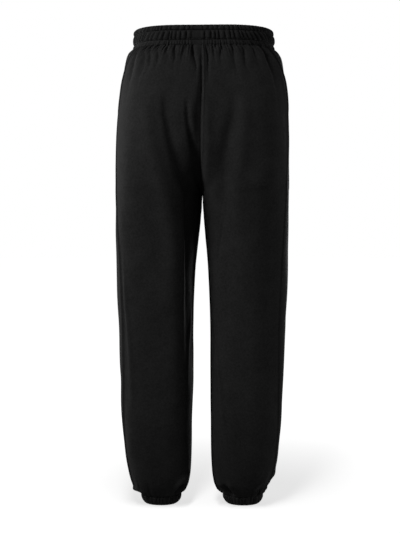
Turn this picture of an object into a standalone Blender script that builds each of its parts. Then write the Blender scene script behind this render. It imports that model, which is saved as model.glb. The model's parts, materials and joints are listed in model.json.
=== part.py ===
"""Jogger sweatpants with a gathered elastic waist and gathered elastic cuffs, hollow and filled out.

Z is up, the front faces -Y and the wearer's left is +X. The origin is the middle of the waist
opening, at mid height of the waistband. The model is in metres, and the tables are in millimetres.
"""
import math
from collections import namedtuple

import bpy
import numpy as np

MM = 0.001

# Cloth and making
FLEECE = 2.0 * MM              # wall of the brushed fleece
POCKETING = 2.4 * MM           # the two flat layers of a pocket bag together
SEAM_GAP = 0.3 * MM            # between pieces that are sewn to each other
BAG_GAP = 0.5 * MM             # between a pocket bag and the panels that it lies on
OUTLINE_POWER = 2.3            # 2 is an ellipse, more is squarer
OUTLINE_STEPS = 720

# Gathers: each one is three columns of the mesh, a crease and the two flanks of a puff
COLUMNS_PER_WAVE = 3
WAIST_RUFFLES = 86
CUFF_RUFFLES = 24
CREASE_WIDTH = 5.5 * MM
ANKLE_GATHER_DEPTH = 2.6 * MM
ANKLE_GATHER_LENGTH = 45.0 * MM

# Between these heights the crotch forks widen the panels. The extra cloth lies along the inner
# edge: an outer column takes only its place to the power of FORK_POWER of it.
FORK_TOP = -212
FORK_END = -450
FORK_POWER = 5

# Centre back of the waistband, where the elastic is joined and the ruffles are pressed flat
FLAT_PATCH = 13.0 * MM

# Side pockets: a mouth in each side seam with a flat bag behind it
POCKET_TOP = -34 * MM
POCKET_BOTTOM = -156 * MM
POCKET_GAPE = 3.5 * MM         # how far the front edge of the mouth draws back from the seam
POCKET_LIP = 1.8 * MM          # how far the back edge of the mouth stands proud
BAG_TOP = -34 * MM
BAG_BOTTOM = -262 * MM
BAG_FRONT_COLUMNS = 10
BAG_BACK_COLUMNS = 2

# Level sections of one half of the garment, from the waist seam to the cuff seam.
#   centre  from the middle plane to the middle of the leg
#   outer   from the middle plane to the outer side
#   inner   from the middle of the leg to its inner side; where it is more than centre, the two
#           halves meet in a seam at the middle plane
#   front, back  from the origin's plane to the front and to the back
#   seam    angle of the side seam towards the back, in degrees
Section = namedtuple("Section", "height centre outer inner front back seam")
SECTIONS = (
    Section(-20.8, 42.0, 153.5, 300, 103, 107, 33),
    Section(-28, 46.0, 161.0, 300, 108, 113, 31),
    Section(-38, 50.0, 166.0, 290, 112, 118, 29),
    Section(-60, 56.0, 171.5, 270, 116, 125, 24),
    Section(-100, 66.0, 178.0, 250, 119, 134, 15),
    Section(-166, 80.0, 183.2, 215, 120, 142, 12),
    Section(-220, 88.0, 185.2, 168, 119, 143, 15),
    Section(-270, 92.0, 186.0, 117, 116, 137, 19),
    Section(-300, 93.2, 186.2, 98.8, 113, 129, 22),
    Section(-319.6, 93.5, 186.2, 93.35, 111, 123, 24),
    Section(-360, 95.2, 186.4, 91.2, 107, 113, 28),
    Section(-404, 96.9, 186.1, 89.3, 103, 106, 31),
    Section(-491, 99.8, 184.4, 84.6, 97, 98, 35),
    Section(-600, 100.5, 181.4, 80.9, 89, 89, 37),
    Section(-720, 98.7, 177.0, 78.4, 83, 84, 32),
    Section(-808, 97.2, 172.7, 75.5, 80, 83, 26),
    Section(-885, 94.2, 165.9, 71.7, 75, 78, 22),
    Section(-929, 92.0, 159.4, 67.3, 70, 73, 20),
    Section(-951, 90.7, 153.4, 62.8, 64, 68, 18),
    Section(-962, 90.0, 147.9, 58.0, 58, 62, 17),
    Section(-972, 90.2, 142.0, 51.8, 51, 54, 16),
    Section(-977.7, 89.2, 133.9, 44.7, 43, 46, 15),
)

# Heights of the rows of the four panels
PANEL_ROWS = (
    -20.8, -28, -38, -54, -76, -104, -138, -174, -212, -246, -276, -298, -312, -319.6,
    -345, -390, -450, -525, -610, -700, -790, -860, -907, -938, -955, -966, -973, -977.7,
)

# Gathers under the waistband, from the centre seam (0) to the side seam (1): the depth of each
# crease and how far down it runs, on the wearer's left and right
Gather = namedtuple("Gather", "place left_depth left_length right_depth right_length")
BACK_GATHERS = (
    Gather(0.00, 1.5, 70, 1.5, 70),
    Gather(0.12, 5.5, 95, 4.2, 70),
    Gather(0.29, 3.2, 60, 4.0, 75),
    Gather(0.44, 4.4, 75, 5.6, 110),
    Gather(0.575, 3.6, 70, 3.4, 85),
    Gather(0.72, 4.2, 90, 4.8, 105),
    Gather(0.86, 4.6, 100, 5.4, 115),
    Gather(1.00, 3.4, 75, 3.8, 85),
)
FRONT_GATHERS = (
    Gather(0.00, 1.5, 70, 1.5, 70),
    Gather(0.14, 4.6, 90, 5.0, 80),
    Gather(0.28, 3.8, 65, 3.4, 95),
    Gather(0.43, 5.2, 105, 4.4, 75),
    Gather(0.57, 3.6, 75, 4.8, 100),
    Gather(0.71, 4.6, 95, 3.8, 75),
    Gather(0.85, 4.2, 80, 4.6, 95),
    Gather(1.00, 3.4, 75, 3.8, 85),
)

# Largest folds of the panels, each a soft trough (height below 0) or ridge between two places.
# across is the share of the panel's width from the centre seam or inseam to the side seam.
Fold = namedtuple("Fold", "panel across_top top across_end end height width")
FOLDS = (
    Fold("back_left", 0.46, -150, 0.30, -330, -5.0, 16),
    Fold("back_left", 0.30, -330, 0.27, -640, 3.0, 20),
    Fold("back_left", 0.19, -160, 0.06, -235, -2.5, 11),
    Fold("back_right", 0.45, -135, 0.38, -365, 3.5, 22),
    Fold("back_right", 0.15, -225, 0.16, -410, -3.0, 18),
    Fold("back_right", 0.12, -560, 0.22, -790, 2.5, 12),
    Fold("back_left", 0.10, -600, 0.14, -760, 2.0, 10),
    Fold("front_left", 0.25, -215, 0.62, -330, -3.5, 15),
    Fold("front_right", 0.22, -205, 0.58, -335, -3.5, 15),
    Fold("front_left", 0.42, -420, 0.36, -700, 2.5, 20),
    Fold("front_right", 0.40, -440, 0.44, -680, 2.5, 20),
    Fold("front_left", 0.10, -330, 0.30, -400, -3.0, 14),
    Fold("front_right", 0.10, -335, 0.32, -395, -3.0, 14),
)

# Profile of the waistband: how far each height stands out from the band's outline, and how deep
# the ruffles are there. The two hollows are the rows of elastic stitching.
BandRow = namedtuple("BandRow", "height out ruffle")
WAIST_OUTLINE = Section(0, 42.0, 149.5, 300, 101, 105.5, 33)
WAIST_ROWS = (
    BandRow(23.2, -0.8, 1.0),
    BandRow(17.0, 1.0, 1.9),
    BandRow(9.5, -1.0, 0.9),
    BandRow(-0.5, 1.8, 2.1),
    BandRow(-10.5, -1.0, 0.9),
    BandRow(-15.5, 1.6, 1.5),
    BandRow(-20.5, 1.0, 0.9),
)
WAIST_INSIDE = -4.5

CUFF_OUTLINE = Section(0, 89.2, 131.2, 42.0, 40.5, 43, 15)
CUFF_ROWS = (
    BandRow(-978.0, 1.2, 0.6),
    BandRow(-981.5, 2.2, 1.2),
    BandRow(-987.0, 1.6, 1.4),
    BandRow(-992.5, 0.4, 1.2),
    BandRow(-996.0, -1.9, 0.5),
)
CUFF_INSIDE = -4.0

FLEECE_BLACK = (0.0075, 0.0075, 0.0080, 1.0)
RIB_BLACK = (0.0065, 0.0065, 0.0070, 1.0)
POCKET_BLACK = (0.0100, 0.0100, 0.0105, 1.0)


def clear_scene():
    """Take away whatever the file opened with."""
    for existing in list(bpy.data.objects):
        bpy.data.objects.remove(existing, do_unlink=True)


def cloth_material(name, colour, roughness):
    """Matt cloth: no metal and hardly any gloss."""
    material = bpy.data.materials.new(name)
    material.use_nodes = True
    shader = material.node_tree.nodes["Principled BSDF"]
    shader.inputs["Base Color"].default_value = colour
    shader.inputs["Roughness"].default_value = roughness
    shader.inputs["Metallic"].default_value = 0.0
    material.diffuse_color = colour
    return material


def smooth_column(at, heights, values):
    """Read a table's column between its rows, on a curve that never overshoots them."""
    heights = np.asarray(heights, float)
    values = np.asarray(values, float)
    rates = np.diff(values) / np.diff(heights)
    slopes = np.zeros_like(values)
    same_way = rates[:-1] * rates[1:] > 0
    inner = 2 * rates[:-1] * rates[1:] / np.where(same_way, rates[:-1] + rates[1:], 1)
    slopes[1:-1] = np.where(same_way, inner, 0)
    slopes[0] = rates[0]
    slopes[-1] = rates[-1]
    i = min(max(int(np.searchsorted(heights, at, side="right")) - 1, 0), len(heights) - 2)
    span = heights[i + 1] - heights[i]
    t = (at - heights[i]) / span
    return (
        (1 + 2 * t) * (1 - t) ** 2 * values[i]
        + t * (1 - t) ** 2 * span * slopes[i]
        + t * t * (3 - 2 * t) * values[i + 1]
        + t * t * (t - 1) * span * slopes[i + 1]
    )


def section_at(height):
    """The level section at any height, in millimetres."""
    upward = SECTIONS[::-1]
    heights = [row.height for row in upward]
    columns = [[row[i] for row in upward] for i in range(1, len(Section._fields))]
    return Section(height, *(smooth_column(height, heights, column) for column in columns))


class Outline:
    """A level outline that can be walked by length, counter-clockwise from the inner front."""

    def __init__(self, points):
        self.points = points
        self.arcs = np.append(0, np.cumsum(np.linalg.norm(np.diff(points, axis=0), axis=1)))
        along = np.gradient(points, axis=0)
        along /= np.linalg.norm(along, axis=1)[:, None]
        self.normals = np.column_stack((along[:, 1], -along[:, 0]))
        self.length = self.arcs[-1]

    def walk(self, arcs):
        """Points and outward directions at the given lengths along the outline."""
        points = np.column_stack([np.interp(arcs, self.arcs, axis) for axis in self.points.T])
        normals = np.column_stack([np.interp(arcs, self.arcs, axis) for axis in self.normals.T])
        return points, normals / np.linalg.norm(normals, axis=1)[:, None]


def half_outline(section):
    """Outline of the left half in metres, and the length along it at which the side seam lies."""
    edge = SEAM_GAP / 2 / MM
    turn = math.pi
    if section.inner > section.centre - edge:
        share = ((section.centre - edge) / section.inner) ** (OUTLINE_POWER / 2)
        turn -= math.acos(share)
    angles = np.linspace(-turn, turn, OUTLINE_STEPS + 1)
    power = 2 / OUTLINE_POWER
    reach = np.where(np.cos(angles) > 0, section.outer - section.centre, section.inner)
    half_depth = (section.front + section.back) / 2
    middle = (section.back - section.front) / 2
    x = section.centre + reach * np.sign(np.cos(angles)) * np.abs(np.cos(angles)) ** power
    y = middle + half_depth * np.sign(np.sin(angles)) * np.abs(np.sin(angles)) ** power
    outline = Outline(np.column_stack((x, y)) * MM)
    seam_arc = float(np.interp(math.radians(section.seam), angles, outline.arcs))
    return outline, seam_arc


def full_outline(section):
    """Closed outline of a band: the half and its mirror, or a whole leg."""
    half, _ = half_outline(section)
    points = half.points
    if section.inner > section.centre:
        points = np.vstack((points, points[::-1] * (-1, 1)))
    points = np.vstack((points, points[:1]))
    return Outline(points)


def panel_places(gathers):
    """Columns of a panel: one at each crease, with the flanks of a puff between two creases."""
    places = []
    for near, far in zip(gathers, gathers[1:]):
        for step in range(COLUMNS_PER_WAVE):
            places.append(near.place + (far.place - near.place) * step / COLUMNS_PER_WAVE)
    return np.array(places + [gathers[-1].place])


def panel_width(front, height):
    """Length of a panel along the outline, from its inner edge to its side seam."""
    outline, seam_arc = half_outline(section_at(height))
    return seam_arc if front else outline.length - seam_arc


def from_side_seam(front, height, width, places):
    """How far each column lies from the side seam."""
    steady = width
    if FORK_END < height < FORK_TOP:
        share = (FORK_TOP - height) / (FORK_TOP - FORK_END)
        above = panel_width(front, FORK_TOP)
        below = panel_width(front, FORK_END)
        steady = above + (below - above) * share
    inward = 1 - places
    return inward * steady + (width - steady) * inward**FORK_POWER


def mouth_opening(height):
    """0 outside the pocket mouth, rising to 1 at its middle."""
    share = (height - POCKET_BOTTOM) / (POCKET_TOP - POCKET_BOTTOM)
    return math.sin(math.pi * share) ** 0.6 if 0 < share < 1 else 0.0


def gather_relief(gathers, side, places, width, height):
    """Creases that fade below the waist, and shallower ones that fade above the ankle."""
    below_waist = SECTIONS[0].height * MM - height
    above_cuff = height - SECTIONS[-1].height * MM
    ankle_fade = max(0.0, 1 - above_cuff / ANKLE_GATHER_LENGTH) ** 2
    relief = np.zeros(len(places))
    for gather in gathers:
        depth = gather.left_depth if side > 0 else gather.right_depth
        length = gather.left_length if side > 0 else gather.right_length
        waist_fade = max(0.0, 1 - below_waist / (length * MM)) ** 1.5
        crease = np.exp(-(((places - gather.place) * width / CREASE_WIDTH) ** 2))
        relief -= crease * (depth * MM * waist_fade + ANKLE_GATHER_DEPTH * ankle_fade)
    return relief


def fold_relief(panel, places, width, height):
    """Soft troughs and ridges that cross the panel."""
    relief = np.zeros(len(places))
    for fold in FOLDS:
        if fold.panel != panel:
            continue
        share = (height / MM - fold.top) / (fold.end - fold.top)
        centre = fold.across_top + (fold.across_end - fold.across_top) * share
        swell = math.sin(math.pi * share) if 0 < share < 1 else 0.0
        offset = (places - centre) * width / (fold.width * MM)
        relief += fold.height * MM * swell * np.exp(-(offset**2))
    return relief


def panel_row(panel, height):
    """Outer points of one row of a panel, from its centre edge to its side seam, and directions."""
    section = section_at(height)
    outline, seam_arc = half_outline(section)
    front = panel.startswith("front")
    side = 1 if panel.endswith("left") else -1
    gathers = FRONT_GATHERS if front else BACK_GATHERS
    places = panel_places(gathers)
    mouth = mouth_opening(height * MM)
    width = seam_arc if front else outline.length - seam_arc
    at_inseam = SEAM_GAP / 2 if section.inner < section.centre else 0.0
    at_side = SEAM_GAP / 2 + (POCKET_GAPE * mouth if front else 0.0)
    arcs = width - from_side_seam(front, height, width, places)
    arcs = at_inseam + arcs * (1 - (at_inseam + at_side) / width)
    points, normals = outline.walk(arcs if front else outline.length - arcs)
    relief = gather_relief(gathers, side, places, width, height * MM)
    relief += fold_relief(panel, places, width, height)
    if not front:
        relief[-1] += POCKET_LIP * mouth
    return points + normals * relief[:, None], normals


def at_height(level_points, height, side):
    """Level points of the left half set at their height on either side, clear of the middle."""
    x = np.maximum(level_points[:, 0], SEAM_GAP / 2) * side
    return np.column_stack((x, level_points[:, 1], np.full(len(x), height)))


def panel_layers(panel, rows, depths):
    """Grids of points of a panel at several depths under its outer face."""
    side = 1 if panel.endswith("left") else -1
    layers = [[] for _ in depths]
    for height in rows:
        points, normals = panel_row(panel, height)
        for layer, depth in zip(layers, depths):
            layer.append(at_height(points - normals * depth, height * MM, side))
    return [np.array(layer) for layer in layers]


def band_layers(outline_section, rows, inside, waves, side, flat_patch):
    """Outer and inner grids of a gathered band, with its ruffles over a plain inside."""
    outline = full_outline(outline_section)
    count = waves * COLUMNS_PER_WAVE
    arcs = np.arange(count) * outline.length / count
    points, normals = outline.walk(arcs)
    column = np.arange(count)
    wave = np.where(column % COLUMNS_PER_WAVE == 0, -1.0, 0.4)
    wave *= 0.8 + 0.2 * np.sin(1.9 * (column // COLUMNS_PER_WAVE))
    if flat_patch:
        from_centre_back = (arcs - outline.length / 2) / flat_patch
        wave *= 1 - np.exp(-(from_centre_back**4))
    outer = []
    for row in rows:
        out = (row.out + row.ruffle * wave) * MM
        level = points + normals * out[:, None]
        outer.append(np.column_stack((level * (side, 1), np.full(count, row.height * MM))))
    level = points + normals * inside * MM
    inner = [
        np.column_stack((level * (side, 1), np.full(count, row.height * MM)))
        for row in (rows[0], rows[-1])
    ]
    return np.array(outer), np.array(inner)


def turned(face):
    """The same face seen from its other side, still split between the same two corners."""
    return face[:1] + face[:0:-1]


def grid_faces(first, rows, columns, closed, inward):
    """Quads of a grid of points whose numbers start at first."""
    faces = []
    for row in range(rows - 1):
        for column in range(columns if closed else columns - 1):
            here = first + row * columns
            below = here + columns
            beside = (column + 1) % columns
            quad = (here + column, below + column, below + beside, here + beside)
            faces.append(turned(quad) if inward else quad)
    return faces


def rim_faces(outer_loop, inner_loop):
    """Quads that close the edge between the outer and the inner face."""
    pairs = list(zip(outer_loop, inner_loop))
    return [(a, c, d, b) for (a, b), (c, d) in zip(pairs, pairs[1:])]


def cloth_wall(name, outer, inner, closed, flip, material, collection):
    """One closed wall of cloth between two grids of points; rows run down, columns run round."""
    rows, columns = outer.shape[:2]
    inner_rows = inner.shape[0]
    start = rows * columns
    faces = grid_faces(0, rows, columns, closed, False)
    faces += grid_faces(start, inner_rows, columns, closed, True)
    around = list(range(columns)) + ([0] if closed else [])
    faces += rim_faces(around, [start + i for i in around])
    last_outer = (rows - 1) * columns
    last_inner = start + (inner_rows - 1) * columns
    faces += rim_faces([last_outer + i for i in around][::-1], [last_inner + i for i in around][::-1])
    if not closed:
        left = [row * columns for row in range(rows)]
        right = [row * columns + columns - 1 for row in range(rows)]
        faces += rim_faces(left[::-1], [start + i for i in left][::-1])
        faces += rim_faces(right, [start + i for i in right])
    if flip:
        faces = [turned(face) for face in faces]
    mesh = bpy.data.meshes.new(name)
    vertices = np.vstack((outer.reshape(-1, 3), inner.reshape(-1, 3)))
    mesh.from_pydata(vertices.tolist(), [], faces)
    mesh.materials.append(material)
    mesh.shade_smooth()
    mesh.set_sharp_from_angle(angle=math.radians(50))
    part = bpy.data.objects.new(name, mesh)
    collection.objects.link(part)
    # Both faces of a wall are split along the same diagonals, so that layers stay parallel
    split = part.modifiers.new("even_split", "TRIANGULATE")
    split.quad_method = "FIXED"


def make_panel(panel, material, collection):
    """One of the four leg panels, each cut in one piece from waist to ankle."""
    outer, inner = panel_layers(panel, PANEL_ROWS, (0.0, FLEECE))
    if panel.startswith("back"):
        outer = outer[:, ::-1]
        inner = inner[:, ::-1]
    cloth_wall(panel, outer, inner, False, panel.endswith("right"), material, collection)


def make_pocket_bag(side_name, material, collection):
    """A flat closed bag inside the side seam, behind the pocket mouth."""
    rows = [row for row in PANEL_ROWS if BAG_BOTTOM <= row * MM <= BAG_TOP]
    depths = (FLEECE + BAG_GAP, FLEECE + BAG_GAP + POCKETING)
    front = panel_layers("front_" + side_name, rows, depths)
    back = panel_layers("back_" + side_name, rows, depths)
    outer, inner = (
        np.concatenate((f[:, -BAG_FRONT_COLUMNS:], b[:, ::-1][:, :BAG_BACK_COLUMNS]), axis=1)
        for f, b in zip(front, back)
    )
    name = "pocket_bag_" + side_name
    cloth_wall(name, outer, inner, False, side_name == "right", material, collection)


def make_waistband(material, collection):
    """Elastic channel band, gathered all round, with two rows of stitching."""
    outer, inner = band_layers(
        WAIST_OUTLINE, WAIST_ROWS, WAIST_INSIDE, WAIST_RUFFLES, 1, FLAT_PATCH
    )
    cloth_wall("waistband", outer, inner, True, False, material, collection)


def make_cuff(side_name, material, collection):
    """Elastic hem of one ankle, a gathered tube that the leg blouses over."""
    side = 1 if side_name == "left" else -1
    outer, inner = band_layers(CUFF_OUTLINE, CUFF_ROWS, CUFF_INSIDE, CUFF_RUFFLES, side, 0)
    cloth_wall("hem_" + side_name, outer, inner, True, side < 0, material, collection)


def main():
    clear_scene()
    collection = bpy.data.collections.new("jogger_sweatpants")
    bpy.context.scene.collection.children.link(collection)
    fleece = cloth_material("brushed_fleece", FLEECE_BLACK, 0.95)
    band = cloth_material("gathered_fleece_band", RIB_BLACK, 0.92)
    pocketing = cloth_material("cotton_pocketing", POCKET_BLACK, 0.9)
    make_waistband(band, collection)
    for side_name in ("left", "right"):
        make_panel("front_" + side_name, fleece, collection)
        make_panel("back_" + side_name, fleece, collection)
        make_pocket_bag(side_name, pocketing, collection)
        make_cuff(side_name, band, collection)


main()
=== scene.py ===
"""Looks of black jogger sweatpants in brushed cotton fleece, filled out as if worn.

The origin is the middle of the waist opening. Z is up, the front faces -Y and the wearer's left
is +X. Lengths are in metres; the tables are in millimetres, and MM turns them to metres.
"""

import json
import math
from collections import namedtuple

import bpy
import numpy as np
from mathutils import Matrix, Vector

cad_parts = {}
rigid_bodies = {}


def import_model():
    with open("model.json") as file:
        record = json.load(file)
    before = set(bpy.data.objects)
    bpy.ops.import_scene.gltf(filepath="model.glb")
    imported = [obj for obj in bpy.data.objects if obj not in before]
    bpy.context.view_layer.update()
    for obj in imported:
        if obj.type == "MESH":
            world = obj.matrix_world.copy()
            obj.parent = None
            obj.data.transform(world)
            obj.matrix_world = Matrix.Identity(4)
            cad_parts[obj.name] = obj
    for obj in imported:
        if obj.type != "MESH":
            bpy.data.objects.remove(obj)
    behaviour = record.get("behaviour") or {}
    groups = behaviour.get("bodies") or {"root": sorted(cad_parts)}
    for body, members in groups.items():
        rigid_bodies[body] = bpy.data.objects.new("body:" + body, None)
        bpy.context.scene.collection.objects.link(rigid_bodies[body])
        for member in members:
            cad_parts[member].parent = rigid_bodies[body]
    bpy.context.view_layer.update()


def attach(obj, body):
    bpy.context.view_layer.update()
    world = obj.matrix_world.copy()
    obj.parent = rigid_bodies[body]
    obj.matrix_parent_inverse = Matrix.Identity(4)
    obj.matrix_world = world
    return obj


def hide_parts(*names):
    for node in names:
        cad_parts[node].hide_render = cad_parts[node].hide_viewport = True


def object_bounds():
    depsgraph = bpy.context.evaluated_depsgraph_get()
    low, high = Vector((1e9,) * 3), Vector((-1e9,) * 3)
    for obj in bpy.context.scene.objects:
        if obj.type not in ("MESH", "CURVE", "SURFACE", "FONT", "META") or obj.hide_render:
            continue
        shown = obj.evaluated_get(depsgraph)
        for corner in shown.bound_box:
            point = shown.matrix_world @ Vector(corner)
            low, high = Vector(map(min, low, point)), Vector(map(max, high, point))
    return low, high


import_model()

MM = 0.001

# ------------------------------------------------------------------------------------ Leg panels
# Two front and two back panels, each cut in one piece from waist to ankle in cotton fleece, a
# smooth knit face over a brushed back. They are overlocked together with the seams inside, so
# each seam shows as a groove, and gathered into the elastic of the waist and of the ankles.

FLEECE = 2.0                   # thickness of the cloth
SHARP_EDGE = 75                # degrees: an edge that turns more is drawn sharp
SEAM_GAP = 0.06                # between pieces that are sewn to each other
OUTLINE_STEPS = 720

# Level sections of one half of the garment: the middle of the leg, the outer side, the reach from
# the middle of the leg to its inner side, the front and the back, and the side seam's angle
Section = namedtuple("Section", "height centre outer inner front back seam")
S = Section
SECTIONS = (
    S(-20.8, 42.0, 151.4, 300, 102, 106.6, 33),
    S(-28, 46.0, 158.6, 300, 108, 109.5, 31),
    S(-38, 50.0, 163.4, 290, 112, 112.5, 29),
    S(-60, 56.0, 168.8, 270, 116, 119.5, 24),
    S(-100, 66.0, 174.8, 250, 119, 130.5, 15),
    S(-166, 80.0, 180.8, 215, 120, 142, 12),
    S(-220, 88.0, 183.2, 168, 119, 143, 15),
    S(-270, 92.0, 184.0, 117, 116, 139, 19),
    S(-300, 93.2, 184.8, 98.8, 113, 135, 22),
    S(-319.6, 93.5, 185.6, 93.35, 111, 131, 24),
    S(-360, 95.2, 186.4, 91.2, 107, 122, 28),
    S(-404, 96.9, 186.4, 89.3, 103, 113.5, 31),
    S(-491, 99.8, 184.4, 84.6, 97, 101.5, 35),
    S(-600, 100.5, 181.4, 80.9, 89, 89, 37),
    S(-720, 98.7, 177.0, 78.4, 83, 84, 32),
    S(-808, 97.2, 172.7, 75.5, 80, 83, 26),
    S(-885, 94.2, 165.9, 71.7, 75, 78, 22),
    S(-929, 92.0, 158.4, 67.3, 70, 71, 20),
    S(-951, 90.7, 151.8, 62.2, 64, 64, 18),
    S(-962, 90.0, 146.4, 57.4, 58, 57.5, 17),
    S(-972, 90.2, 141.0, 51.4, 51, 50.5, 16),
    S(-977.7, 89.2, 133.9, 44.7, 43, 46, 15),
)
# How square the sections are at each height: 2 is an ellipse, more is squarer
SQUARENESS = {-977.7: 2.1, -940: 2.4, -820: 2.7, -150: 2.7, -60: 2.52, -20.8: 2.34}
WAIST_SEAM = SECTIONS[0].height
CUFF_SEAM = SECTIONS[-1].height
CROTCH = -319.6

# Between these heights the crotch forks widen the panels, mostly along their inner edges
FORK_TOP = -212
FORK_END = -450
FORK_POWER = 5

# Distance between the rows of the mesh at each height: close where the cloth is gathered
ROW_STEPS = {
    -977.7: 1.3, -955: 1.8, -925: 3.2, -880: 5.5, -500: 6.0, -330: 4.6, -130: 4.2, -60: 2.4,
    -30: 1.6, -20.8: 1.2,
}
PANEL_COLUMNS = 150
EDGE_CROWDING = 0.45           # how much closer the columns are along the seams

# How far the garment leans to its left at each height, and how much higher the waist is behind
LEAN = {
    -978: 0.3, -966: 1.0, -950: 0.6, -775: 0.6, -720: 0.0, -360: -0.8, -270: -1.8, -230: -2.8,
    -170: -4.0, -120: -5.4, -80: -5.4, -45: -4.4, -20: -3.0, 25: -2.4,
}
BACK_RISE = 2.4
BACK_RISE_DEPTH = 105          # how far back it has reached its full height
BACK_RISE_FADE = 45.0
STRIDE = 3.5                   # how far the left ankle stands back, and the right one forward
STRIDE_FROM = -480

# Side pockets: a mouth in each side seam
POCKET_TOP = -34
POCKET_BOTTOM = -156
POCKET_GAPE = 5.5
POCKET_ROUNDNESS = 0.6
POCKET_LIP = 2.6
POCKET_LIP_WIDTH = 9

# Seams: the edges of both panels roll in, and one of them lies over the turned-in allowance
SEAM_ROLL = 1.5
SEAM_ROLL_WIDTH = 2.0
SEAM_RIDGE = 2.8
SEAM_RIDGE_PLACE = 4.2
SEAM_RIDGE_WIDTH = 2.4
SEAM_GRIP = 6.0                # within this distance of an inseam the folds fade out
CENTRE_GRIP = 12.0             # within this distance of a centre seam they sink or rise straight
BAND_GRIP = 4.0                # within this distance of a band the cloth keeps between these limits
AT_WAIST = (-3.0, 1.0)
AT_CUFF = (-2.6, -0.4)
GATHER_GRIP = 0.75             # share of a seam's roll that the waist gathers take up
GATHER_GRIP_FADE = 28

# Ruffles of the gathered edges: how many there are round the waist and round an ankle, how deep
# they are at the seam, how far from it they fade, and the seeds of their spacing
WAIST_RUFFLES = 86
WAIST_PUCKER = 2.9
WAIST_PUCKER_FADE = 8.5
WAIST_SEED = 3
ANKLE_RUFFLES = 36
ANKLE_PUCKER = 1.5
ANKLE_PUCKER_FADE = 9.0
ANKLE_SEED = 11
ANKLE_FOLDS = 15
ANKLE_FOLD = 2.2
ANKLE_FOLD_FADE = 24.0
ANKLE_FOLD_SEED = 12
RUFFLE_SHIFT = 0.3             # how far a crease may lie from an even spacing, as a share of it
RUFFLE_DEPTHS = (0.45, 1.0)
RUFFLE_HEIGHTS = (0.5, 1.0)
RUFFLE_ROUNDNESS = 0.8
Patch = namedtuple("Patch", "centre reach")
FLAT_PATCH = Patch(-0.0105, 0.0115)    # shares of the way round that lie flat at the centre back
RUFFLE_SLANT = 0.0012          # share of the way round that a ruffle moves for a millimetre down
FINE_RUFFLES = 1.8             # how many more there are along a stitched edge
FINENESS = 0.6                 # their share of the height there

# The cloth is gathered into the waistband in puffs with creases between them. Each crease: the
# share of the way from the centre seam to the side seam where it starts, half way down and at its
# end, how far down it runs, and how deep it is
Crease = namedtuple("Crease", "top middle end length depth")
C = Crease
GATHERS = {
    "back_left": (
        C(.120, .092, .055, 42, 8.5), C(.205, .215, .230, 24, 3.0), C(.350, .328, .308, 28, 6.5),
        C(.475, .430, .400, 22, 3.5), C(.600, .535, .500, 32, 5.5), C(.708, .633, .580, 38, 5.5),
        C(.795, .700, .640, 46, 4.5), C(.900, .850, .780, 62, 3.5),
    ),
    "back_right": (
        C(.062, .078, .065, 52, 5.0), C(.196, .172, .150, 16, 3.0), C(.283, .240, .215, 28, 4.0),
        C(.412, .388, .367, 40, 5.0), C(.558, .510, .479, 44, 5.0), C(.688, .650, .629, 34, 4.5),
        C(.838, .780, .740, 76, 6.5), C(.945, .942, .950, 40, 3.0),
    ),
    "front_left": (
        C(.120, .130, .135, 42, 5.0), C(.215, .225, .235, 22, 3.0), C(.300, .315, .330, 34, 4.5),
        C(.400, .415, .430, 52, 5.5), C(.480, .495, .505, 26, 3.0), C(.575, .590, .600, 40, 4.5),
        C(.690, .710, .725, 46, 5.0), C(.780, .800, .810, 28, 3.5), C(.870, .880, .890, 48, 4.5),
    ),
    "front_right": (
        C(.090, .100, .108, 32, 4.0), C(.170, .185, .195, 48, 5.5), C(.285, .300, .315, 26, 3.0),
        C(.385, .400, .410, 42, 5.0), C(.500, .515, .530, 54, 5.5), C(.600, .620, .635, 30, 3.5),
        C(.710, .730, .745, 44, 5.0), C(.800, .815, .825, 24, 3.0), C(.880, .890, .895, 50, 4.5),
    ),
}
PUFF_RISE = 0.125              # height of a puff between two creases, as a share of its width
PUFF_LIMIT = 3.9
PUFF_ROUNDNESS = 0.9
PUFF_FALL = 1.4                # how much further down a puff runs than the creases beside it
SEAM_HOLD = 0.32               # share of a puff's height that the seam lets it have
SEAM_HOLD_FADE = 10.0

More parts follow.
